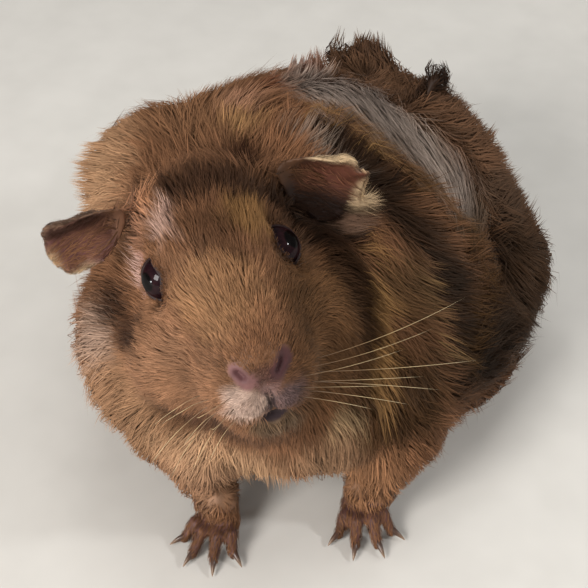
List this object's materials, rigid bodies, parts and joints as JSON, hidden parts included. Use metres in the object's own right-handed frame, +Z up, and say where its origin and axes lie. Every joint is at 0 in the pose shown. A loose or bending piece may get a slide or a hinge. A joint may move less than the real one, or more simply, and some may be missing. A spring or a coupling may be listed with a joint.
{
  "type": "guinea pig",
  "caption": "Life-size still model of a rough-coated guinea pig sitting on its four feet, trunk curved, head raised and turned to its left, with petal ears and clawed toes.",
  "frame": {"origin": "middle of the animal's box, on the floor that it sits on", "axes": "+Z up; the trunk faces -Y and the animal's left side is +X; the head is turned about 43 degrees towards +X"},
  "size_m": [0.1436, 0.1762, 0.1042],
  "materials": {
    "coat": "rough, whorled brown coat with dark and silver ticking",
    "foot_skin": "dark skin under short fur",
    "ear_skin": "thin, dull red-brown skin",
    "eye": "wet gloss",
    "claw": "satin horn"
  },
  "bodies": {
    "root": {"head": "coat", "neck": "coat", "trunk": "coat", "leg_front_left": "coat", "leg_hind_left": "coat", "foot_front_left": "foot_skin", "foot_hind_left": "foot_skin", "ear_left": "ear_skin", "eye_left": "eye", "claw_front_left_1": "claw", "claw_front_left_2": "claw", "claw_front_left_3": "claw", "claw_front_left_4": "claw", "claw_hind_left_1": "claw", "claw_hind_left_2": "claw", "claw_hind_left_3": "claw", "leg_front_right": "coat", "leg_hind_right": "coat", "foot_front_right": "foot_skin", "foot_hind_right": "foot_skin", "ear_right": "ear_skin", "eye_right": "eye", "claw_front_right_1": "claw", "claw_front_right_2": "claw", "claw_front_right_3": "claw", "claw_front_right_4": "claw", "claw_hind_right_1": "claw", "claw_hind_right_2": "claw", "claw_hind_right_3": "claw"}
  },
  "joints": []
}
